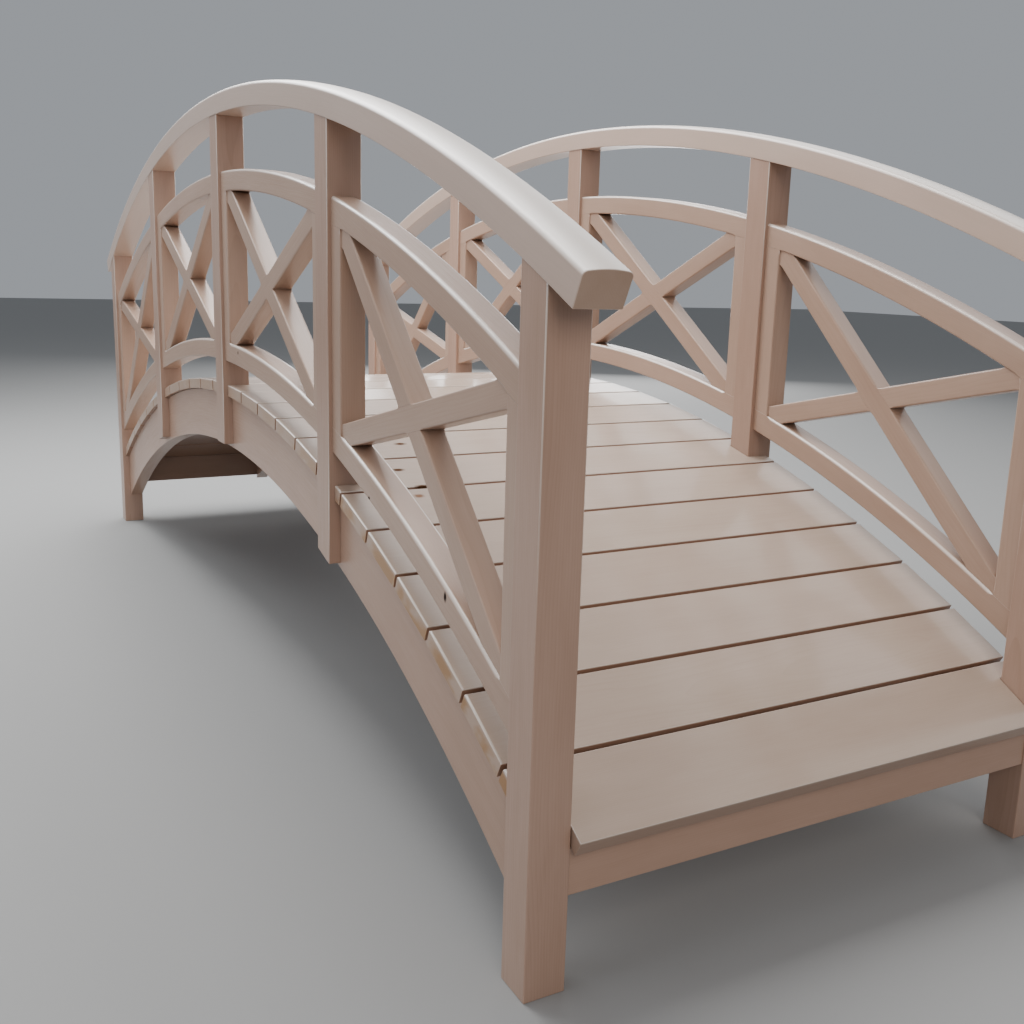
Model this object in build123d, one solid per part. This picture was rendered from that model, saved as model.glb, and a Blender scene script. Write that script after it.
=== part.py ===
"""Timber moon bridge: an arched footbridge with open cross-braced panels between its posts.

+X runs along the span, +Y across it and +Z up. The origin is on the ground under the middle.
Every curved member follows one centre, below the ground under the middle of the span, so a
member is known by its radius from that centre. All sizes are in millimetres.
"""
from build123d import *
from math import asin, atan2, degrees, hypot, sqrt
import os

# The arch and the posts
deck_radius = 4550.0
deck_crown = 975.0
bay_length = 1125.0
post_width = 94.0
width_over_posts = 1542.0
cheek = 33.0
cheek_lift = 15.0

# The beams and what ties them together
beam_depth = 185.0
middle_beam_depth = 128.0
fascia_thickness = 45.0
fascia_setback = 5.0
fascia_depth = 103.0
tie_thickness = 45.0
tie_depth = 106.0
tie_drop = 8.0

# The deck boards
board_thickness = 40.0
board_width = 189.5
board_gap = 12.0
board_overhang = 16.0
board_arris = 3.0
nosing_width = 195.5
nosing_overhang = 32.0
notch_clearance = 2.0

# The handrails
rail_height = 910.0
rail_width = 100.0
rail_depth = 73.0
rail_crown = 5.5
rail_shoulder = 11.0
rail_overhang = 87.0

# The panels
panel_clearance = 86.0
panel_height = 642.0
panel_rail_depth = 67.0
panel_thickness = 70.0
stile_width = 62.0
brace_width = 62.0
brace_setback = 5.0

# The clearance that every seated joint keeps
joint = 0.3

# The posts of one side by name, from the near end to the far end
post_names = ["end_post_near", "post_near", "post_middle", "post_far", "end_post_far"]

# What follows from the sizes above
bays = len(post_names) - 1
arc_centre_z = deck_crown - deck_radius
post_outer = width_over_posts / 2
post_inner = post_outer - post_width
post_centre = post_outer - post_width / 2
beam_outer = post_outer - cheek
beam_thickness = post_width - cheek
board_end = beam_outer + board_overhang
beam_top = deck_radius - board_thickness - joint
beam_bottom = beam_top - beam_depth
rail_underside = deck_radius + rail_height
bridge_height = arc_centre_z + rail_underside + rail_depth
bottom_rail_low = deck_radius + panel_clearance
bottom_rail_high = bottom_rail_low + panel_rail_depth
top_rail_high = bottom_rail_low + panel_height
top_rail_low = top_rail_high - panel_rail_depth
end_post_x = bays * bay_length / 2
span_end = end_post_x + post_width / 2
beam_end = end_post_x - post_width / 2 - joint
fascia_front = span_end - fascia_setback
fascia_back = fascia_front - fascia_thickness
post_places = [end_post_x - index * bay_length for index in range(bays + 1)]
arc_axis = Axis((0, 0, arc_centre_z), (0, 1, 0))


def arc_height(radius, x):
    """Height above the ground of the arc of this radius, at x along the span."""
    return arc_centre_z + sqrt(radius ** 2 - x ** 2)


def side_disc(radius):
    """The full disc of this radius about the arch's centre, as a face seen from the side."""
    return Pos(0, arc_centre_z) * Circle(radius)


def side_strip(x_low, x_high, foot=0):
    """An upright strip of the side view, from its foot to the bridge's full height."""
    centre = Pos((x_low + x_high) / 2, (foot + bridge_height) / 2)
    return centre * Rectangle(x_high - x_low, bridge_height - foot)


def side_band(low_radius, high_radius, x_low, x_high):
    """The part of the side view between two arcs and two upright lines."""
    return side_strip(x_low, x_high) & (side_disc(high_radius) - side_disc(low_radius))


def slab(outline, y_low, y_high):
    """A side-view outline given its thickness across the bridge, from y_low to y_high."""
    return extrude(Plane.XZ.offset(-y_high) * outline, amount=y_high - y_low)


def other_side(shape):
    """The same piece on the right side of the bridge."""
    return mirror(shape, about=Plane.XZ)


def arched_beam(depth, end, y_low, y_high):
    """A beam cut to the arch, with upright ends at equal distances from the middle."""
    return slab(side_band(beam_top - depth, beam_top, -end, end), y_low, y_high)


def end_post(x):
    """A post that stands on the ground and carries the beams' ends and the handrail."""
    outline = side_strip(x - post_width / 2, x + post_width / 2) & side_disc(rail_underside - joint)
    return slab(outline, -post_outer, -post_inner)


def notched_post(x):
    """A post that stands on the beam, with a cheek that laps the beam's outer face.

    The cheek's foot follows the beam's lower edge, a little above it.
    """
    outline = side_band(beam_bottom + cheek_lift, rail_underside - joint,
                        x - post_width / 2, x + post_width / 2)
    seat = slab(side_disc(beam_top + joint), -beam_outer - joint, 0)
    return slab(outline, -post_outer, -post_inner) - seat


def board_angles():
    """The low and high angle of every board, from the near nosing to the far one.

    After the near nosing whole boards are laid, and the last one takes the width that is left.
    """
    end = asin((span_end + nosing_overhang) / deck_radius)
    width, pitch = board_width / deck_radius, (board_width + board_gap) / deck_radius
    first = end - (nosing_width + board_gap) / deck_radius
    whole = int((first + end - width) / pitch)
    angles = [(first + board_gap / deck_radius, end)]
    angles += [(first - index * pitch - width, first - index * pitch) for index in range(whole)]
    return angles + [(-end, first - whole * pitch)]


def board_blank(low, high):
    """A flat board laid across the beams between two angles, with its upper arrises rounded."""
    length = 2 * board_end
    blank = Box((high - low) * deck_radius, length, board_thickness)
    blank = fillet(blank.faces().sort_by(Axis.Z)[-1].edges(), board_arris)
    flat = Pos(0, 0, deck_radius - board_thickness / 2) * blank
    return Pos(0, 0, arc_centre_z) * Rot(0, degrees((low + high) / 2), 0) * flat


def post_notches():
    """The room that every board leaves round the posts; at the ends it runs on past the nosing."""
    reach = post_width / 2 + notch_clearance
    inner = post_inner - notch_clearance
    across = post_outer - inner
    past_nosing = span_end + 2 * nosing_overhang
    notches = []
    for x in post_places:
        low = -past_nosing if x == -end_post_x else x - reach
        high = past_nosing if x == end_post_x else x + reach
        for side in (-1, 1):
            centre = Pos((low + high) / 2, side * (inner + across / 2), 0)
            notches.append(centre * Box(high - low, across, 2 * bridge_height))
    return notches


def handrail():
    """One arched rail with a crowned top and square ends, turned about the arch's centre."""
    half, shoulder = rail_width / 2, rail_depth - rail_crown
    edge = Polyline((-half, shoulder), (-half, 0), (half, 0), (half, shoulder))
    crown = ThreePointArc((-half, shoulder), (0, rail_depth), (half, shoulder))
    section = make_face([edge, crown])
    section = fillet(section.vertices().group_by(Axis.Y)[-1], rail_shoulder)
    end = degrees(asin((span_end + rail_overhang) / rail_underside))
    placed = Plane.YZ * (Pos(-post_centre, arc_centre_z + rail_underside) * section)
    return revolve(placed, axis=arc_axis, revolution_arc=2 * end).rotate(arc_axis, -end)


def brace_strip(start, finish, width):
    """The side view of a brace along the line between two corners, running on past both."""
    (x_start, z_start), (x_finish, z_finish) = start, finish
    run, rise = x_finish - x_start, z_finish - z_start
    middle = Pos((x_start + x_finish) / 2, (z_start + z_finish) / 2)
    return middle * Rot(0, 0, degrees(atan2(rise, run))) * Rectangle(hypot(run, rise) + 2 * stile_width, width)


def panel(x_low, x_high):
    """One open panel between two posts: a frame of rails and stiles round a pair of braces.

    The braces run from corner to corner, stand back from both faces of the frame and are lapped by
    half where they cross.
    """
    y_low, y_high = -post_centre - panel_thickness / 2, -post_centre + panel_thickness / 2
    brace_low, brace_high = y_low + brace_setback, y_high - brace_setback
    left, right = x_low + joint, x_high - joint
    inner_low, inner_high = bottom_rail_high + joint, top_rail_low - joint
    frame = [
        slab(side_band(bottom_rail_low, bottom_rail_high, left, right), y_low, y_high),
        slab(side_band(top_rail_low, top_rail_high, left, right), y_low, y_high),
        slab(side_band(inner_low, inner_high, left, left + stile_width), y_low, y_high),
        slab(side_band(inner_low, inner_high, right - stile_width, right), y_low, y_high),
    ]
    corner_xs = left + stile_width + joint, right - stile_width - joint
    opening = side_band(inner_low, inner_high, *corner_xs)
    crown_x, end_x = sorted(corner_xs, key=abs)
    falling = (crown_x, arc_height(inner_high, crown_x)), (end_x, arc_height(inner_low, end_x))
    rising = (crown_x, arc_height(inner_low, crown_x)), (end_x, arc_height(inner_high, end_x))
    seat_width = brace_width + 2 * joint
    falling_seat = slab(brace_strip(*falling, seat_width), -post_centre - joint / 2, brace_high)
    rising_seat = slab(brace_strip(*rising, seat_width), brace_low, -post_centre + joint / 2)
    braces = [
        slab(brace_strip(*falling, brace_width) & opening, brace_low, brace_high) - rising_seat,
        slab(brace_strip(*rising, brace_width) & opening, brace_low, brace_high) - falling_seat,
    ]
    return {"frame": frame, "braces": braces}


def fascia():
    """The cross beam between the near end posts, its top cut to the slope of the first board."""
    foot = arc_height(beam_top, fascia_front) - fascia_depth
    outline = side_strip(fascia_back, fascia_front, foot) & side_disc(beam_top)
    return slab(outline, -post_inner + joint, post_inner - joint)


def cross_ties(x):
    """Two ties at one pair of posts, each from a side beam to the middle beam."""
    inner_face = beam_outer - beam_thickness
    y_low, y_high = beam_thickness / 2 + joint, inner_face - joint
    top = beam_top - tie_drop
    tie = Box(tie_thickness, y_high - y_low, tie_depth)
    placed = Pos(0, -(y_low + y_high) / 2, top - tie_depth / 2) * tie
    angle = degrees(asin(x / top))
    left = Pos(0, 0, arc_centre_z) * Rot(0, angle, 0) * placed
    return [left, other_side(left)]


# The pieces by name
pieces = {}

side_beam = arched_beam(beam_depth, beam_end, -beam_outer, -beam_outer + beam_thickness)
pieces["left_beam"] = side_beam
pieces["right_beam"] = other_side(side_beam)
pieces["middle_beam"] = arched_beam(middle_beam_depth, fascia_back - joint,
                                    -beam_thickness / 2, beam_thickness / 2)
near_fascia = fascia()
pieces["near_fascia"] = near_fascia
pieces["far_fascia"] = mirror(near_fascia, about=Plane.YZ)
for name, x in zip(("near_ties", "middle_ties", "far_ties"), post_places[1:-1]):
    pieces[name] = Compound(children=cross_ties(x))

for name, x in zip(post_names, post_places):
    post = end_post(x) if abs(x) == end_post_x else notched_post(x)
    pieces["left_" + name] = post
    pieces["right_" + name] = other_side(post)

rail = handrail()
pieces["left_handrail"] = rail
pieces["right_handrail"] = other_side(rail)

notches = post_notches()
boards = [board_blank(low, high) - notches for low, high in board_angles()]
for index in range(bays):
    group = boards[len(boards) * index // bays:len(boards) * (index + 1) // bays]
    pieces[f"deck_boards_{index + 1}"] = Compound(children=group)

for index in range(bays):
    x_high = post_places[index] - post_width / 2
    x_low = post_places[index + 1] + post_width / 2
    for part_name, solids in panel(x_low, x_high).items():
        pieces[f"left_panel_{index + 1}_{part_name}"] = Compound(children=solids)
        mirrored = [other_side(solid) for solid in solids]
        pieces[f"right_panel_{index + 1}_{part_name}"] = Compound(children=mirrored)

os.makedirs("parts", exist_ok=True)
for name, shape in pieces.items():
    export_step(shape, f"parts/{name}.step")
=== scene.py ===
# A timber moon bridge: a board deck on arched beams, ten posts, and on each side a row of open
# cross-braced panels under a crowned handrail. Metres; +X along the span, -Y to the left, +Z up.
import bmesh
import bpy
import numpy as np
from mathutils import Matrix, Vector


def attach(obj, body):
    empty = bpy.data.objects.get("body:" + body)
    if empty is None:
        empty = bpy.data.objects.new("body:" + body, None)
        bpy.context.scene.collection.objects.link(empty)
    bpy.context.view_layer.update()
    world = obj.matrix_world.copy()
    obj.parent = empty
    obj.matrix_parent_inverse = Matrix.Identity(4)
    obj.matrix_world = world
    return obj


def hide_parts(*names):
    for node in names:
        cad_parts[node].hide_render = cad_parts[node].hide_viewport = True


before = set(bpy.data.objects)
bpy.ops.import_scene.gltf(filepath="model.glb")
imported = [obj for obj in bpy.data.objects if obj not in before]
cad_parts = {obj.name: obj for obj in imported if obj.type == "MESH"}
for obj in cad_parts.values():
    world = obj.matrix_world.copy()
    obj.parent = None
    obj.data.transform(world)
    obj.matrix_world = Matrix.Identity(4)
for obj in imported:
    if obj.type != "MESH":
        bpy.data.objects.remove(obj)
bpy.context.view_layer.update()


# Side beams. Two beams sawn to the arch carry the boards and stop against the end posts. They
# are planed softwood, sprayed with one thin base coat, with their arrises eased by hand.
arch_centre = -3.575
beam_top, beam_bottom = 4.5097, 4.3247
beam_outer, beam_inner = 0.738, 0.677
beam_end = 2.2027
beam_ease = 0.003
beam_stations = 90
beam_fibres = 4.42
arc_points = 5
tree_reach = np.array([20, 0.18, 0.18])
sharp_angle = 50
fray = 0.006
# Colour of the painted highlight on arrises that face up, and on the handrail's crown.
painted_highlight_colour = (0.88, 0.81, 0.73)
year_rings = 210.0
chance = np.random.default_rng(17)


def arc_height(radius, x):
    """Height of an arc at x: the arch's centre plus the root of the radius squared less x squared."""
    return arch_centre + np.sqrt(radius ** 2 - x ** 2)


def rectangle(across_low, across_high, up_low, up_high):
    """The four corners of a squared timber's section, anticlockwise from the low one."""
    return np.array([(across_low, up_low), (across_high, up_low),
                     (across_high, up_high), (across_low, up_high)])


def side_normals(outline):
    """The outward normals of the sides before and after each corner of an anticlockwise outline.

    A side is a corner less the one before it, and its normal is its dy and minus its dx over its length.
    """
    side = outline - np.roll(outline, 1, axis=0)
    before = np.stack([side[:, 1], -side[:, 0]], 1) / np.linalg.norm(side, axis=1)[:, None]
    return before, np.roll(before, -1, axis=0)


def eased_rings(corners, eases, insets=0.0, middles=0):
    """Closed outlines of one section, a ring for each row of eases, with every corner eased to an arc.

    A corner's arc has its centre on the bisector, at the ease's radius from both sides, and its points
    are that centre plus the radius, less the inset, times the cosine and sine of angles that step from
    one side's normal to the next one's. The middles are spaced evenly between two arcs.
    """
    before, after = side_normals(corners)
    likeness = (before * after).sum(1)
    bisector = (before + after) / (1 + likeness)[:, None]
    start = np.arctan2(before[:, 1], before[:, 0])
    turn = np.arctan2(before[:, 0] * after[:, 1] - before[:, 1] * after[:, 0], likeness)
    angle = start[:, None] + turn[:, None] * np.linspace(0, 1, arc_points)
    spoke = np.stack([np.cos(angle), np.sin(angle)], -1)
    radius = (eases * np.ones(len(corners)))[:, :, None, None]
    inset = np.reshape(insets, (-1, 1, 1, 1))
    arcs = corners[None, :, None] - radius * bisector[None, :, None] + (radius - inset) * spoke[None]
    share = (np.arange(middles) + 1)[None, None, :, None] / (middles + 1)
    sides = arcs[:, :, -1:] * (1 - share) + np.roll(arcs, -1, axis=1)[:, :, :1] * share
    return np.concatenate([arcs, sides], 2).reshape(len(arcs), -1, 2)


def arched_timber(places, corners, eases):
    """A timber sawn to the arch, with upright ends: x at each place, y and radius round the section,
    and z the height of the arc of that radius at that x."""
    rings = eased_rings(corners, np.ones((len(places), 1)) * eases)
    x = places[:, None] * np.ones(rings.shape[1])
    return np.stack([x, rings[..., 0], arc_height(rings[..., 1], x)], -1)


def bent_grain(points, radius):
    """Fibres that follow the arch: the angle from the crown times the radius, then depth and width."""
    x, y, z = points[..., 0], points[..., 1], points[..., 2] - arch_centre
    return np.stack([np.arctan2(x, z) * radius, np.hypot(x, z) - radius, y - y.mean()], -1)


def straight_grain(points, along):
    """Fibres that run straight: the point's distance along them, and its two distances across."""
    along = np.asarray(along, float) / np.linalg.norm(along)
    across = np.cross(along, (0, 1, 0) if abs(along[1]) < 0.9 else (0, 0, 1))
    across /= np.linalg.norm(across)
    return (points - points.reshape(-1, 3).mean(0)) @ np.stack([along, across, np.cross(along, across)], 1)


def store(mesh, name, kind, key, values):
    """Keeps a value at every point of the mesh, which the material reads by name."""
    mesh.attributes.new(name, kind, "POINT").data.foreach_set(key, np.concatenate(values, axis=None))


def lay_timbers(name, timbers, finish, node, end_grain=0.0, ridges=None):
    """One mesh from several timbers, each a set of rings of points with the grain at every point.

    Quads join neighbouring rings, and a flat face closes each end, or two where the end is folded
    between the points given. Every timber gets a place of its own in the tree, which shifts its grain,
    and a tone of its own, to which the end grain adds at the first and the last ring. The arris
    attribute says where a highlight is painted: the ridges are 1 on the three inner points of each
    ease, unless others are given, and count as far as the point's normal looks up, so the arris is the
    ridge times twice the normal's z, less 0.2, kept between 0 and 1.
    """
    vertices, faces, grain, tone, ridge, count = [], [], [], [], [], 0
    for points, fibres, *fold in timbers:
        rings, loop = points.shape[:2]
        index = count + np.arange(rings * loop).reshape(rings, loop)
        beside = np.roll(index, -1, axis=1)
        quads = np.stack([index[:-1], beside[:-1], beside[1:], index[1:]], -1)
        faces += quads.reshape(-1, 4).tolist()
        low, high = fold[0] if fold else (0, loop - 1)
        for ring in (index[0], index[-1]):
            faces += [ring[low:high + 1].tolist()]
            faces += [np.append(ring[high:], ring[:low + 1]).tolist()] if fold else []
        vertices.append(points.reshape(-1, 3))
        grain.append(fibres.reshape(-1, 3) + chance.uniform(-tree_reach, tree_reach))
        tone.append(np.full((rings, loop), chance.uniform(-1, 1)))
        tone[-1][[0, -1]] += end_grain
        section = ridges
        if ridges is None:
            section = np.tile(np.pad([0, 1, 1, 1, 0], (0, loop // 4 - arc_points)), 4)
        ridge.append(section * np.ones((rings, loop)))
        count += rings * loop
    mesh = bpy.data.meshes.new(name)
    mesh.from_pydata(np.concatenate(vertices), [], faces)
    store(mesh, "grain", "FLOAT_VECTOR", "vector", grain)
    store(mesh, "tone", "FLOAT", "value", tone)
    mesh.update()
    shape = bmesh.new()
    shape.from_mesh(mesh)
    bmesh.ops.recalc_face_normals(shape, faces=shape.faces)
    shape.to_mesh(mesh)
    shape.free()
    normals = np.empty(3 * len(mesh.vertices))
    mesh.vertex_normals.foreach_get("vector", normals)
    # The arris attribute marks where a highlight is painted: eased arrises whose normals face up.
    looks_up = np.clip(2 * normals[2::3] - 0.2, 0, 1)
    store(mesh, "arris", "FLOAT", "value", [np.concatenate(ridge, axis=None) * looks_up])
    mesh.shade_smooth()
    mesh.set_sharp_from_angle(angle=np.radians(sharp_angle))
    mesh.materials.append(finish)
    piece = bpy.data.objects.new(name, mesh)
    bpy.context.scene.collection.objects.link(piece)
    weighted = piece.modifiers.new("flat faces stay flat", "WEIGHTED_NORMAL")
    weighted.keep_sharp = True
    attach(piece, "root")
    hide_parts(node)


def shader(tree, kind, inputs=(), **settings):
    """Adds a node, with its settings, and its inputs by name: a socket is linked and a value is set."""
    made = tree.nodes.new("ShaderNode" + kind)
    for name, value in settings.items():
        setattr(made, name, value)
    for name, value in dict(inputs).items():
        if isinstance(value, bpy.types.NodeSocket):
            tree.links.new(value, made.inputs[name])
        else:
            made.inputs[name].default_value = value
    return made


def number(tree, operation, *values, **settings):
    """The result of a sum on numbers, which are given in the order of the node's inputs."""
    return shader(tree, "Math", dict(enumerate(values)), operation=operation, **settings).outputs[0]


def vector(tree, operation, *values):
    """The result of a sum on vectors, which is a number for a length or a distance."""
    made = shader(tree, "VectorMath", dict(enumerate(values)), operation=operation)
    return made.outputs["Value" if operation in ("LENGTH", "DISTANCE") else "Vector"]


def noise(tree, place, detail, output="Fac", **inputs):
    """A smooth noise, one unit wide unless its scale is given."""
    inputs = {"Vector": place, "Scale": 1.0, "Detail": detail, **inputs}
    return shader(tree, "TexNoise", inputs).outputs[output]


def ramp(tree, value, start, stop, low=0.0, high=1.0, **settings):
    """How far a value is from the start to the stop, spread between low and high."""
    inputs = {"Value": value, "From Min": start, "From Max": stop, "To Min": low, "To Max": high}
    return shader(tree, "MapRange", inputs, **settings).outputs["Result"]


def tinted(tree, share, under, over, **settings):
    """One colour over another, by its share. A colour is a socket or its red, green and blue."""
    inputs = {"Factor": share, 6: under, 7: over}
    for key in (6, 7):
        if isinstance(inputs[key], tuple):
            inputs[key] = (*inputs[key], 1)
    return shader(tree, "Mix", inputs, data_type="RGBA", **settings).outputs[2]


def coated_wood(name, pale, warm, streak, marks=(), edges=None, satin=0.25, blur=0.18):
    """Softwood under a thin satin base coat: year rings and fibres show through it as faint streaks.

    The rings are the distance from the tree's heart, which wanders slowly, times the year rings in a
    metre, and the fibres a noise that is long along them and short across. Their weighted sum, with a
    broad noise and the timber's own tone, leads from the pale colour to the warm one. Edges is a
    function that colours chosen faces. The arrises that face up are tinted paler as a painted highlight.
    A mark is a knot or a dent: its place, how its distances are stretched, its reach and its colour. The
    coat's sheen ends where a mark begins.
    """
    material = bpy.data.materials.new(name)
    material.use_nodes = True
    tree = material.node_tree
    skin = tree.nodes["Principled BSDF"]
    grain = shader(tree, "Attribute", attribute_name="grain").outputs["Vector"]
    tone = shader(tree, "Attribute", attribute_name="tone").outputs["Fac"]
    arris = shader(tree, "Attribute", attribute_name="arris").outputs["Fac"]
    spot = shader(tree, "TexCoord").outputs["Object"]

    wander = noise(tree, vector(tree, "MULTIPLY", grain, (1.4, 7.0, 7.0)), 2.0, "Color")
    bent = vector(tree, "MULTIPLY_ADD", wander, (0.0, 0.03, 0.03), grain)
    depth = vector(tree, "LENGTH", vector(tree, "MULTIPLY", bent, (0.0, 1.0, 1.0)))
    season = number(tree, "FRACT", number(tree, "MULTIPLY", depth, year_rings))
    late = number(tree, "POWER", season, 3.0)
    fibre = noise(tree, vector(tree, "MULTIPLY", bent, (5.0, 420.0, 420.0)), 3.0)
    broad = noise(tree, vector(tree, "MULTIPLY", grain, (2.2, 11.0, 11.0)), 4.0, Roughness=0.6)
    shade = 0.25
    for value, weight in ((late, 0.22 * streak), (fibre, 0.40 * streak), (broad, 0.9), (tone, 0.12)):
        shade = number(tree, "MULTIPLY_ADD", value, weight, shade)
    colour = tinted(tree, ramp(tree, shade, 0.45, 1.35, clamp=False), pale, warm, clamp_factor=False)
    if edges:
        colour = edges(tree, colour, spot, grain)
    # Painted highlight: arrises that face up are tinted towards a pale colour.
    colour = tinted(tree, number(tree, "MULTIPLY", arris, 0.62), colour, painted_highlight_colour)

    ragged = noise(tree, spot, 3.0, "Color", Scale=90.0)
    frayed = vector(tree, "MULTIPLY_ADD", ragged, (fray, fray, fray), spot)
    sheen = 1.0
    for place, stretch, reach, dark in marks:
        middle = tuple((np.array(place) + fray / 2) * stretch)
        away = vector(tree, "DISTANCE", vector(tree, "MULTIPLY", frayed, stretch), middle)
        inside = ramp(tree, away, reach, reach * 0.45)
        colour = tinted(tree, inside, colour, dark)
        sheen = number(tree, "SUBTRACT", sheen, inside, use_clamp=True)

    relief = number(tree, "MULTIPLY_ADD", late, 0.5, fibre)
    bump = shader(tree, "Bump", {"Height": relief, "Strength": 0.22 * streak, "Distance": 0.0004})
    thick = number(tree, "MULTIPLY_ADD", arris, 1.0 - satin, satin)
    for socket, value in (("Base Color", colour), ("Roughness", ramp(tree, fibre, 0.3, 0.7, 0.33, 0.45)),
                          ("Coat Weight", number(tree, "MULTIPLY", sheen, thick)),
                          ("Specular IOR Level", number(tree, "MULTIPLY", sheen, 0.5)),
                          ("Normal", bump.outputs["Normal"])):
        tree.links.new(value, skin.inputs[socket])
    skin.inputs["Coat Roughness"].default_value = blur
    return material


frame_coat = coated_wood("frame_coat", (0.44, 0.285, 0.21), (0.33, 0.20, 0.138), 0.6)
for side, sign in (("left", -1), ("right", 1)):
    points = arched_timber(np.linspace(-beam_end, beam_end, beam_stations),
                           rectangle(beam_inner, beam_outer, beam_bottom, beam_top), beam_ease)
    points[..., 1] *= sign
    lay_timbers(f"{side}_arch_beam", [(points, bent_grain(points, beam_fibres))], frame_coat,
                f"{side}_beam")


# Middle beam and cross ties. A lighter softwood beam of the same arch runs under the boards' middle,
# held off the side beams by short ties at the inner posts. Nobody sees them but from below.
middle_beam_depth, middle_beam_half = 0.128, 0.0305
middle_beam_fibres = 4.45
fascia_back, fascia_front = 2.247, 2.292
tie_thickness, tie_depth, tie_drop = 0.045, 0.106, 0.008
cross_ease = 0.002
bay_length = 1.125
post_places = [2 * bay_length, bay_length, 0.0, -bay_length, -2 * bay_length]
joint = 0.0003

points = arched_timber(np.linspace(-fascia_back + joint, fascia_back - joint, beam_stations),
                       rectangle(-middle_beam_half, middle_beam_half, beam_top - middle_beam_depth,
                                 beam_top), beam_ease)
lay_timbers("middle_arch_beam", [(points, bent_grain(points, middle_beam_fibres))], frame_coat,
            "middle_beam")


def cross_timber(corners, y_low, y_high):
    """A timber across the bridge: its side outline carried straight from one y to the other."""
    rings = eased_rings(corners, np.full((2, 1), cross_ease))
    y = np.array([[y_low], [y_high]]) * np.ones(rings.shape[1])
    return np.stack([rings[..., 0], y, rings[..., 1]], -1)


for name, x in zip(("near", "middle", "far"), post_places[1:-1]):
    top = beam_top - tie_drop
    lean = np.arcsin(x / top)
    square = rectangle(-tie_thickness / 2, tie_thickness / 2, top - tie_depth, top)
    turn = np.array([(np.cos(lean), -np.sin(lean)), (np.sin(lean), np.cos(lean))])
    ties = []
    for low, high in ((-beam_inner + joint, -middle_beam_half - joint),
                      (middle_beam_half + joint, beam_inner - joint)):
        points = cross_timber(square @ turn + (0, arch_centre), low, high)
        ties.append((points, straight_grain(points, (0, 1, 0))))
    lay_timbers(f"{name}_tie_pair", ties, frame_coat, f"{name}_ties")


# End fascias. A softwood board on edge closes each end between the end posts, under the nosing, with
# its top planed to the slope of the deck.
post_outer, post_inner = 0.771, 0.677
fascia_depth = 0.103
front_top, back_top = arc_height(beam_top, fascia_front), arc_height(beam_top, fascia_back)
corners = np.array([(fascia_back, front_top - fascia_depth), (fascia_front, front_top - fascia_depth),
                    (fascia_front, front_top), (fascia_back, back_top)])
for name, sign in (("near", 1), ("far", -1)):
    points = cross_timber(corners, -post_inner + joint, post_inner - joint)
    points[..., 0] *= sign
    lay_timbers(f"{name}_end_board", [(points, straight_grain(points, (0, 1, 0)))], frame_coat,
                f"{name}_fascia")


# Posts. Ten of squared softwood. The end posts stand on the ground. The three between them are
# notched over the beam: a cheek laps its outer face, and ends a little above its lower edge.
post_half = 0.047
cheek_lift = 0.015
post_ease, foot_ease = 0.003, 0.002
rail_underside = 5.460
post_names = ["end_post_near", "post_near", "post_middle", "post_far", "end_post_far"]
post_coat = coated_wood("post_coat", (0.45, 0.30, 0.23), (0.325, 0.20, 0.14), 0.9)


def quarter_round(ease, steps=3):
    """Two sets of steps of a rounded end: the ease times one less the cosine, and times one less the
    sine, of angles from 0 to a right angle."""
    quarter = np.linspace(0, np.pi / 2, steps + 1)
    return ease * (1 - np.cos(quarter)), ease * (1 - np.sin(quarter))


def post(x, notched):
    """A square post: its rings run up from the foot to the underside of the handrail.

    A notched post's foot follows the beam's lower edge, and its rings below the seat keep only the
    cheek: points further in than the beam's outer face are moved out to it.
    """
    rise, inset = quarter_round(foot_ease)
    inset = np.concatenate([inset, np.zeros(4 if notched else 2)])
    square = rectangle(x - post_half, x + post_half, -post_outer, -post_inner)
    rings = eased_rings(square, np.full((len(inset), 1), post_ease), inset)
    xs, ys = rings[..., 0], rings[..., 1].copy()
    head = arc_height(rail_underside - joint, xs[-1])
    foot = arc_height(beam_bottom + cheek_lift, xs[0]) if notched else 0 * xs[0]
    heights = [foot + step for step in rise]
    if notched:
        seat = arc_height(beam_top + joint, xs[0])
        heights += [seat, seat]
        ys[:-3] = np.minimum(ys[:-3], -beam_outer - joint)
    z = np.array(heights + [(heights[-1] + head) / 2, head])
    return np.stack([xs, ys, z], -1)


for side, sign in (("left", 1), ("right", -1)):
    for name, x in zip(post_names, post_places):
        points = post(x, "end" not in name)
        points[..., 1] *= sign
        lay_timbers(f"{side}_{name}_timber", [(points, straight_grain(points, (0, 0, 1)))], post_coat,
                    f"{side}_{name}")


# Deck boards. Flat softwood boards laid across the beams from the near end, with narrow gaps, their
# upper arrises rounded. They are notched round the posts, and the first and the last one are nosings.
deck_radius, board_thickness = 4.550, 0.040
board_width, board_gap, nosing_width = 0.1895, 0.012, 0.1955
board_end, board_ease, long_round, end_round, under_round = 0.754, 0.0035, 0.002, 0.006, 0.001
notch_inner, notch_reach = 0.675, 0.049
nosing_front = 2.329
# The x span of the nosing's front, which gets painted shade.
nosing_face = (2.290, 2.296)
# The rings of a board's eased arrises, where the highlight is painted.
arris_rings = np.array([[0], [0], [0], [1], [1], [1], [0]])
# A board's side brown, also painted on the nosing's front as shade; its duller ends; the bare wood of rubbed
# patches.
side_brown_and_shade, dull_end, bare_wood = (0.31, 0.18, 0.12), (0.40, 0.27, 0.195), (0.32, 0.16, 0.055)
knot_brown, knot_pale, knot_dark = (0.09, 0.042, 0.02), (0.25, 0.14, 0.09), (0.02, 0.012, 0.01)
knots = [((0.919, -0.460, 0.881), (2.0, 1.0, 2.0), 0.025, knot_brown),
         ((1.105, -0.543, 0.839), (2.0, 1.0, 2.0), 0.024, knot_brown),
         ((1.218, -0.516, 0.809), (1.4, 0.7, 1.4), 0.022, knot_brown),
         ((1.266, -0.549, 0.795), (1.4, 1.0, 1.4), 0.019, knot_pale),
         ((1.218, -0.545, 0.809), (14.0, 1.0, 14.0), 0.060, knot_dark)]


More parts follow.
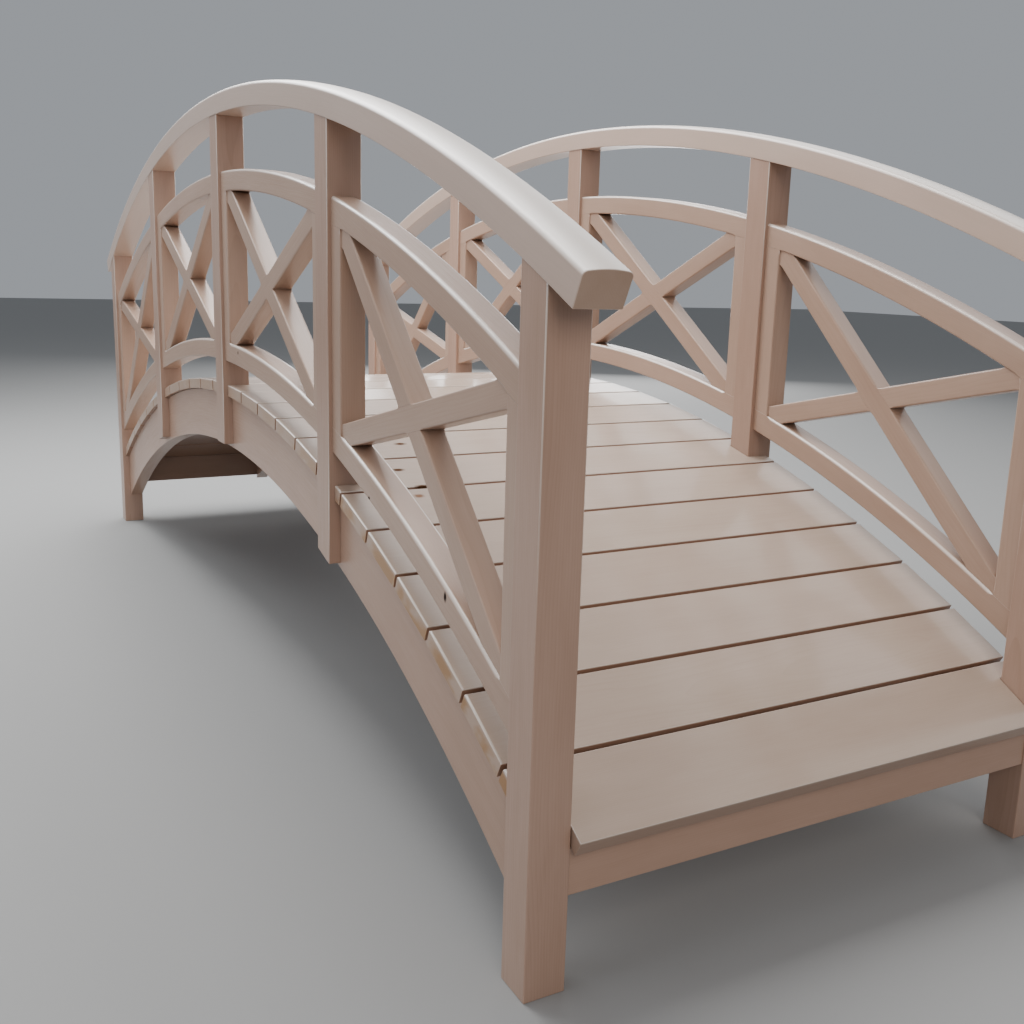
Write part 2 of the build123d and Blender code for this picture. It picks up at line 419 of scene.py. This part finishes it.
def board_edges(tree, colour, spot, grain):
    """The faces of a board coloured apart from its top.

    The long sides, down in the gaps, are darker and redder, and the nosing's front, which faces down,
    gets about half as much as painted shade: their distance from the arch's centre is less than the
    arris's. The ends, where y is the board's end, are duller. In the near bay a broad noise along the
    grain leaves them rubbed to the bare wood under the arris.
    """
    from_centre = vector(tree, "MULTIPLY_ADD", spot, (1, 0, 1), (0, 0, -arch_centre))
    level = vector(tree, "LENGTH", from_centre)
    place = shader(tree, "SeparateXYZ", {0: spot}).outputs
    below = ramp(tree, level, deck_radius - 0.0015, deck_radius - 0.0035)
    at_end = ramp(tree, number(tree, "ABSOLUTE", place["Y"]), board_end - 0.002, board_end - 0.0005)
    # Painted shade on the nosing's front, which faces down.
    at_nosing = ramp(tree, number(tree, "ABSOLUTE", place["X"]), *nosing_face, 0.0, 0.55)
    side = number(tree, "SUBTRACT", below, number(tree, "ADD", at_end, at_nosing), use_clamp=True)
    colour = tinted(tree, side, colour, side_brown_and_shade)
    colour = tinted(tree, number(tree, "MULTIPLY", at_end, 0.8), colour, dull_end)
    under_arris = ramp(tree, level, deck_radius - 0.004, deck_radius - 0.010)
    cloud = noise(tree, vector(tree, "MULTIPLY", grain, (3, 9, 14)), 3.0)
    rubbed = number(tree, "MULTIPLY", at_end, under_arris)
    rubbed = number(tree, "MULTIPLY", rubbed, ramp(tree, cloud, 0.41, 0.56))
    rubbed = number(tree, "MULTIPLY", rubbed, ramp(tree, place["X"], 0.5, 1.4, 0.2))
    return tinted(tree, rubbed, colour, bare_wood)


deck_coat = coated_wood("deck_coat", (0.455, 0.35, 0.28), (0.365, 0.265, 0.20), 0.6, knots, board_edges,
                        satin=0.35, blur=0.13)


def board(low, high):
    """One flat board between two angles of the arch, as its plan carried up through its thickness.

    A corner of the plan is its place along the slope, its y, and the x it keeps where it clears a post.
    A ring is the plan less its insets along the normals of each corner's sides. The sides are upright
    up to the ease, which then turns in by a quarter ellipse, further in at the ends than along the
    board.
    """
    half = (high - low) * deck_radius / 2
    sine, cosine = np.sin((low + high) / 2), np.cos((low + high) / 2)
    plan = [(half, board_end, np.nan), (-half, board_end, np.nan)]
    for post_x in post_places:
        if abs(deck_radius * sine - post_x) < half + notch_reach:
            cut_low = post_x - notch_reach if post_x > post_places[-1] else -np.inf
            cut_high = post_x + notch_reach if post_x < post_places[0] else np.inf
            start, end = (cut_low - deck_radius * sine) / cosine, (cut_high - deck_radius * sine) / cosine
            past = [(half, board_end, np.nan), (end, board_end, cut_high), (end, notch_inner, cut_high)]
            short = [(start, notch_inner, cut_low), (start, board_end, cut_low), (-half, board_end, np.nan)]
            plan = past if end < half else [(half, notch_inner, np.nan)]
            plan += short if start > -half else [(-half, notch_inner, np.nan)]
    plan = np.array(plan + [(s, -y, x) for s, y, x in plan[::-1]])
    plan, kept_x = plan[:, :2], plan[:, 2]
    before, after = side_normals(plan)
    mitre = before + after
    mitre[:, 1] *= np.where(abs(plan[:, 1]) == board_end, end_round / long_round, 1.0)
    turn_in, turn_down = quarter_round(1.0, 4)
    depth = np.concatenate([[board_thickness, board_thickness - under_round], board_ease * turn_down])
    inset = np.concatenate([[under_round, 0], long_round * turn_in])[:, None]
    level = deck_radius - depth[:, None]
    y = plan[:, 1] - inset * mitre[:, 1]
    s = np.where(np.isnan(kept_x), plan[:, 0], (kept_x - level * sine) / cosine) - inset * mitre[:, 0]
    return np.stack([level * sine + s * cosine, y, arch_centre + level * cosine - s * sine], -1)


end_angle = np.arcsin(nosing_front / deck_radius)
board_step = (board_width + board_gap) / deck_radius
second = end_angle - (nosing_width + board_gap) / deck_radius
whole = int((second + end_angle - board_width / deck_radius) / board_step)
angles = [(second + board_gap / deck_radius, end_angle)]
for n in range(whole):
    angles.append((second - n * board_step - board_width / deck_radius, second - n * board_step))
angles.append((-end_angle, second - whole * board_step))
for group in range(4):
    boards = []
    for low, high in angles[len(angles) * group // 4:len(angles) * (group + 1) // 4]:
        points = board(low, high)
        boards.append((points, straight_grain(points, (0, 1, 0))))
    lay_timbers(f"deck_boards_run_{group + 1}", boards, deck_coat, f"deck_boards_{group + 1}",
                ridges=arris_rings)


# Handrails. One arched softwood rail a side, let down on all five posts, moulded with a crowned top
# and round shoulders, and cut square at both ends.
rail_half, rail_depth, rail_crown, rail_shoulder = 0.050, 0.073, 0.0055, 0.011
rail_ease, rail_end_ease = 0.0025, 0.002
rail_end = 2.384
rail_stations = 100
rail_fibres, rail_end_grain = 5.49, 11.0
# Points on each side of the crown's middle that get the painted highlight.
painted_sheen_points = 15
post_centre = 0.724
rail_coat = coated_wood("rail_coat", (0.55, 0.41, 0.33), (0.45, 0.32, 0.245), 0.5, satin=1.0, blur=0.34)


def handrail():
    """The rail's section turned about the arch's centre: x is the radius times the sine of the angle,
    and z the radius times its cosine. The crown is an arc over the width, and each shoulder an arc
    that touches the crown and the side. Near its ends the section is inset by a quarter circle.
    Where the rail is laid, a highlight is painted on the crown, over the points each side of its middle."""
    crown_radius = (rail_half ** 2 + rail_crown ** 2) / (2 * rail_crown)
    hub = rail_depth - crown_radius
    shoulder_y = rail_half - rail_shoulder
    shoulder_r = hub + np.sqrt((crown_radius - rail_shoulder) ** 2 - shoulder_y ** 2)
    touch = np.arctan2(shoulder_r - hub, shoulder_y)
    foot = np.linspace(-np.pi / 2, 0, 5)
    shoulder = np.linspace(0, touch, 9)
    crown = np.linspace(touch, np.pi - touch, 15)[1:-1]
    side_y = np.append(rail_half - rail_ease + rail_ease * np.cos(foot),
                       shoulder_y + rail_shoulder * np.cos(shoulder))
    side_r = np.append(rail_ease + rail_ease * np.sin(foot), shoulder_r + rail_shoulder * np.sin(shoulder))
    y = np.concatenate([side_y, crown_radius * np.cos(crown), -side_y[::-1]])
    r = np.concatenate([side_r, hub + crown_radius * np.sin(crown), side_r[::-1]])
    outward = np.concatenate([foot, shoulder, crown, np.pi - shoulder[::-1], np.pi - foot[::-1]])

    reach = rail_underside * np.arcsin(rail_end / rail_underside)
    out, inset = quarter_round(rail_end_ease)
    middle = np.linspace(rail_end_ease - reach, reach - rail_end_ease, rail_stations)[1:-1]
    angle = np.concatenate([out - reach, middle, (reach - out)[::-1]])[:, None] / rail_underside
    inset = np.concatenate([inset, 0 * middle, inset[::-1]])[:, None]
    across = y - inset * np.cos(outward) - post_centre
    radius = rail_underside + r - inset * np.sin(outward)
    return np.stack([radius * np.sin(angle), across, arch_centre + radius * np.cos(angle)], -1)


for side, sign in (("left", 1), ("right", -1)):
    points = handrail()
    points[..., 1] *= sign
    # The crown's middle points get the painted highlight along the whole rail.
    from_crown = abs(np.arange(points.shape[1]) - points.shape[1] // 2)
    lay_timbers(f"{side}_crowned_rail", [(points, bent_grain(points, rail_fibres))], rail_coat,
                f"{side}_handrail", rail_end_grain, from_crown < painted_sheen_points)


# Panels. Each bay has a softwood frame of two stiles and two rails cut to the arch, and two braces,
# half-lapped where they cross. The arrises are eased after gluing up, so they stop at the joints.
panel_outer, panel_inner = 0.759, 0.689
brace_outer, brace_inner = 0.754, 0.694
low_rail, high_rail = (4.636, 4.703), (5.211, 5.278)
inner_low, inner_high = low_rail[1] + joint, high_rail[0] - joint
panel_fibres, panel_stations = 5.0, 24
stile_width, brace_half = 0.062, 0.031
panel_ease, rail_round, joint_ease, ease_stop = 0.005, 0.009, 0.0004, 0.015
stile_stop = 0.028
brace_middles = 3
brace_fold = (arc_points + 1, 3 * arc_points + 2 * brace_middles + 1)
inner_bay = (post_half, bay_length - post_half)
outer_bay = (bay_length + post_half, 2 * bay_length - post_half)
dents = [((1.887, -0.759, 0.710), (1.0, 1.0, 0.6), 0.009, knot_dark),
         ((1.439, -0.759, 0.839), (1.0, 1.0, 1.0), 0.006, knot_dark),
         ((0.220, -0.759, 1.102), (1.0, 1.0, 1.0), 0.008, knot_dark)]
panel_coat = coated_wood("panel_coat", (0.45, 0.31, 0.235), (0.34, 0.215, 0.15), 0.7, dents)


def panel_rail(radii, x_low, x_high, opening):
    """A rail of the frame: an arched timber whose arrises towards the opening stop at the stiles.

    Their ease is the joint's up to the stile, and rises to the full one over the stop's length.
    """
    start, end = x_low + stile_width, x_high - stile_width
    stops = [start, start + ease_stop, end - ease_stop, end]
    places = np.sort(np.append(np.linspace(x_low, x_high, panel_stations), stops))
    share = np.clip(np.minimum(places - start, end - places) / ease_stop, 0, 1)
    lower, upper = panel_ease + 0 * places, rail_round + 0 * places
    if opening == "below":
        lower = joint_ease + (panel_ease - joint_ease) * share
    else:
        upper = joint_ease + (rail_round - joint_ease) * share
    corners = rectangle(-panel_outer, -panel_inner, *radii)
    return arched_timber(places, corners, np.stack([lower, lower, upper, upper], 1))


def stile(x_post, x_open):
    """An upright of the frame: rings stepped from the lower rail's arc to the upper rail's arc, by the
    share of the height between them."""
    share = np.array([0, stile_stop, 0.5, 1 - stile_stop, 1])
    opening = np.array([joint_ease, panel_ease, panel_ease, panel_ease, joint_ease])
    beside = np.full(len(share), joint_ease)
    x_low, x_high = min(x_post, x_open), max(x_post, x_open)
    low_side, high_side = (beside, opening) if x_low == x_post else (opening, beside)
    rings = eased_rings(rectangle(x_low, x_high, -panel_outer, -panel_inner),
                        np.stack([low_side, high_side, high_side, low_side], 1))
    x = rings[..., 0]
    low, high = arc_height(inner_low, x), arc_height(inner_high, x)
    return np.stack([x, rings[..., 1], low + (high - low) * share[:, None]], -1)


def brace(own, other, radii, outer_half):
    """A brace between its own two corners, cut to the frame there and lapped by half at the crossing.
    Its pointed ends are folded between the middles of its two wide sides.

    A point is the start, plus its place along the brace, plus its offset across it. Each offset's line
    ends where it meets the upright through the corner or the rail's arc: the place along it is the
    root of a quadratic. At the lap the points of the half that is cut away move to the middle plane.
    """
    (start, finish), (other_start, other_finish) = np.array(own), np.array(other)
    length = np.linalg.norm(finish - start)
    along = (finish - start) / length
    across = np.array([-along[1], along[0]])
    crossing = (other_finish - other_start) / np.linalg.norm(other_finish - other_start)
    crossing_across = np.array([-crossing[1], crossing[0]])
    square = rectangle(-brace_half, brace_half, -brace_outer, -brace_inner)
    offset = eased_rings(square, np.full((1, 1), joint_ease), middles=brace_middles)[0][:, 0]

    def cut(x, radius, near):
        """Where the offset lines meet the upright at x and the arc of this radius, near a given place."""
        upright = (x - start[0] - offset * across[0]) / along[0]
        away = start + offset[:, None] * across - (0, arch_centre)
        slope = away @ along
        root = np.sqrt(slope ** 2 - (away ** 2).sum(1) + radius ** 2)
        first, second = -slope - root, -slope + root
        return upright, np.where(abs(first - near) < abs(second - near), first, second)

    begin = np.max(cut(start[0], radii[0], 0), axis=0)
    end = np.min(cut(finish[0], radii[1], length), axis=0)
    base = (start - other_start) @ crossing_across
    lap = np.array([[-brace_half - joint], [brace_half + joint]]) - base - offset * (across @ crossing_across)
    lap_low, lap_high = np.sort(lap / (along @ crossing_across), axis=0)
    steps = [(begin, joint_ease, False), (begin + ease_stop, panel_ease, False),
             (lap_low - ease_stop, panel_ease, False), (lap_low, joint_ease, False),
             (lap_low, joint_ease, True), (lap_high, joint_ease, True),
             (lap_high, joint_ease, False), (lap_high + ease_stop, panel_ease, False),
             (end - ease_stop, panel_ease, False), (end, joint_ease, False)]
    places, eases, lapped = (np.array(values) for values in zip(*steps))
    rings = eased_rings(square, eases[:, None], middles=brace_middles)
    middle_plane = -(brace_outer + brace_inner) / 2
    y = rings[..., 1]
    half_y = np.minimum(y, middle_plane - joint / 2)
    if not outer_half:
        half_y = np.maximum(y, middle_plane + joint / 2)
    flat = start + places[..., None] * along + rings[..., :1] * across
    points = np.stack([flat[..., 0], np.where(lapped[:, None], half_y, y), flat[..., 1]], -1)
    return points, (along[0], 0, along[1])


bays = [(outer_bay, 1), (inner_bay, 1), (inner_bay, -1), (outer_bay, -1)]
for side, side_sign in (("left", 1), ("right", -1)):
    for bay, (reach, end_sign) in enumerate(bays, 1):
        x_low, x_high = reach[0] + joint, reach[1] - joint
        crown_x, end_x = x_low + stile_width + joint, x_high - stile_width - joint
        falling = (crown_x, arc_height(inner_high, crown_x)), (end_x, arc_height(inner_low, end_x))
        rising = (crown_x, arc_height(inner_low, crown_x)), (end_x, arc_height(inner_high, end_x))
        turned = np.array([end_sign, side_sign, 1])
        chord = (x_high - x_low, 0, arc_height(panel_fibres, x_high) - arc_height(panel_fibres, x_low))
        members = [(panel_rail(low_rail, x_low, x_high, "above"), chord),
                   (panel_rail(high_rail, x_low, x_high, "below"), chord),
                   (stile(x_low, x_low + stile_width), (0, 0, 1)),
                   (stile(x_high, x_high - stile_width), (0, 0, 1))]
        timbers = [(points * turned, straight_grain(points * turned, along * turned))
                   for points, along in members]
        lay_timbers(f"{side}_panel_{bay}_frame_timbers", timbers, panel_coat,
                    f"{side}_panel_{bay}_frame")
        pair = [brace(falling, rising, (inner_high, inner_low), False),
                brace(rising, falling, (inner_low, inner_high), True)]
        timbers = [(points * turned, straight_grain(points * turned, along * turned), brace_fold)
                   for points, along in pair]
        lay_timbers(f"{side}_panel_{bay}_lapped_braces", timbers, panel_coat,
                    f"{side}_panel_{bay}_braces", ridges=0)


# Stage: a plain pale floor, soft light from six broad panels, and the camera where the photographer
# stood, at eye height outside the left parapet of the near end.
floor_mesh = bpy.data.meshes.new("floor")
floor_mesh.from_pydata([(-40, -40, 0), (40, -40, 0), (40, 40, 0), (-40, 40, 0)], [], [(0, 1, 2, 3)])
floor = bpy.data.objects.new("floor", floor_mesh)
bpy.context.scene.collection.objects.link(floor)
pale_floor = bpy.data.materials.new("pale_floor")
pale_floor.use_nodes = True
floor_skin = pale_floor.node_tree.nodes["Principled BSDF"]
floor_skin.inputs["Base Color"].default_value = (0.28, 0.28, 0.276, 1)
floor_skin.inputs["Roughness"].default_value = 0.85
floor_mesh.materials.append(pale_floor)

world = bpy.data.worlds.new("studio")
world.use_nodes = True
world.node_tree.nodes["Background"].inputs["Color"].default_value = (0.88, 0.93, 1.0, 1)
world.node_tree.nodes["Background"].inputs["Strength"].default_value = 0.38
bpy.context.scene.world = world


def soft_light(name, place, aim, width, height, watts, colour=(1, 1, 1)):
    """An area light of this width and height at a place, turned to look at a point."""
    lamp = bpy.data.lights.new(name, "AREA")
    lamp.shape, lamp.size, lamp.size_y, lamp.energy, lamp.color = "RECTANGLE", width, height, watts, colour
    holder = bpy.data.objects.new(name, lamp)
    bpy.context.scene.collection.objects.link(holder)
    holder.location = place
    toward = Vector(aim) - Vector(place)
    holder.rotation_mode = "QUATERNION"
    holder.rotation_quaternion = toward.to_track_quat("-Z", "Y")
    holder.visible_camera = False


soft_light("overhead", (-2.6, -0.5, 4.9), (-2.6, -0.5, 0.0), 7.6, 3.2, 620)
soft_light("overhead_right", (-1.5, 4.9, 4.9), (-1.5, 4.9, 0.0), 9.0, 4.2, 200)
soft_light("far_end", (-9.5, 6.3, 2.8), (0.0, 0.0, 1.2), 6.4, 3.6, 480)
soft_light("far_left", (-3.6, -3.2, 5.3), (1.0, -0.7, 1.2), 3.2, 3.2, 165, (0.95, 0.98, 1.0))
soft_light("left_fill", (1.0, -6.5, 3.0), (0.3, 0, 0.6), 4.0, 4.0, 120, (0.90, 0.94, 1.0))
soft_light("near_fill", (6.5, -1.5, 3.4), (0.5, 0, 0.8), 3.0, 3.0, 109, (1.0, 0.91, 0.84))

camera = bpy.data.cameras.new("camera")
camera.sensor_width, camera.lens = 36.0, 38.115
camera.shift_x, camera.shift_y = -0.00876, -0.00952
viewer = bpy.data.objects.new("camera", camera)
bpy.context.scene.collection.objects.link(viewer)
yaw, pitch, roll = 0.5103, -0.2075, 0.0301
forward = np.array([-np.cos(yaw) * np.cos(pitch), np.sin(yaw) * np.cos(pitch), np.sin(pitch)])
right = np.array([np.sin(yaw), np.cos(yaw), 0])
up = np.cross(right, forward)
turned_right = np.cos(roll) * right + np.sin(roll) * up
turned_up = -np.sin(roll) * right + np.cos(roll) * up
stand = Matrix(np.stack([turned_right, turned_up, -forward], 1).tolist()).to_4x4()
stand.translation = (3.9061, -1.7101, 1.3910)
viewer.matrix_world = stand
bpy.context.scene.camera = viewer
